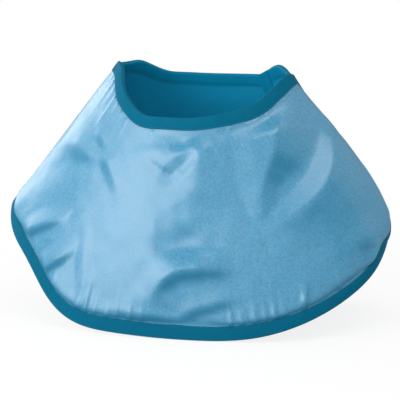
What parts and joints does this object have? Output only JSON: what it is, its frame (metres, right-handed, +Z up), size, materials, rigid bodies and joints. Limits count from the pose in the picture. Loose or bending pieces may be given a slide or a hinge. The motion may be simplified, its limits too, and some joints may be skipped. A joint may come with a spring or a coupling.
{
  "type": "radiation shielding cape",
  "caption": "Short radiation shielding cape for dental X-ray work: coated cloth over lead vinyl, bound round the neck opening and the hem, and folding open at one shoulder.",
  "frame": {"origin": "middle of the neck opening at the height of the shoulders, where the cape hangs from the wearer", "axes": "+X to the wearer's left along the shoulders, +Y to the wearer's back, +Z up"},
  "size_m": [0.5551, 0.2993, 0.3637],
  "materials": {
    "cover_cloth": "light blue coated nylon, fine plain weave with a satin sheen",
    "lead_vinyl": "grey lead-loaded vinyl sheet",
    "lining_cloth": "dark teal coated nylon, matt",
    "binding_tape": "dark teal folded binding tape",
    "seam_thread": "teal polyester thread",
    "loop_tape": "soft loop pile",
    "hook_tape": "moulded hooks in rows"
  },
  "bodies": {
    "front_panel": {"front_cover": "cover_cloth", "front_shield_outer": "lead_vinyl", "front_shield_inner": "lead_vinyl", "front_lining": "lining_cloth", "front_neck_binding": "binding_tape", "front_hem_binding": "binding_tape", "front_edge_binding": "binding_tape", "front_neck_thread": "seam_thread", "front_hem_thread": "seam_thread", "front_edge_thread": "seam_thread", "loop_tape": "loop_tape"},
    "back_panel": {"back_cover": "cover_cloth", "back_shield_outer": "lead_vinyl", "back_shield_inner": "lead_vinyl", "back_lining": "lining_cloth", "back_neck_binding": "binding_tape", "back_hem_binding": "binding_tape", "back_edge_binding": "binding_tape", "back_neck_thread": "seam_thread", "back_hem_thread": "seam_thread", "back_edge_thread": "seam_thread", "hook_tape": "hook_tape"}
  },
  "joints": [
    {"name": "shoulder_fold", "type": "hinge", "parent": "front_panel", "child": "back_panel", "pos_m": [-0.12333, 0, 0.00256], "axis": [0.6103, 0, 0.7922], "range_deg": [0, 150]}
  ]
}
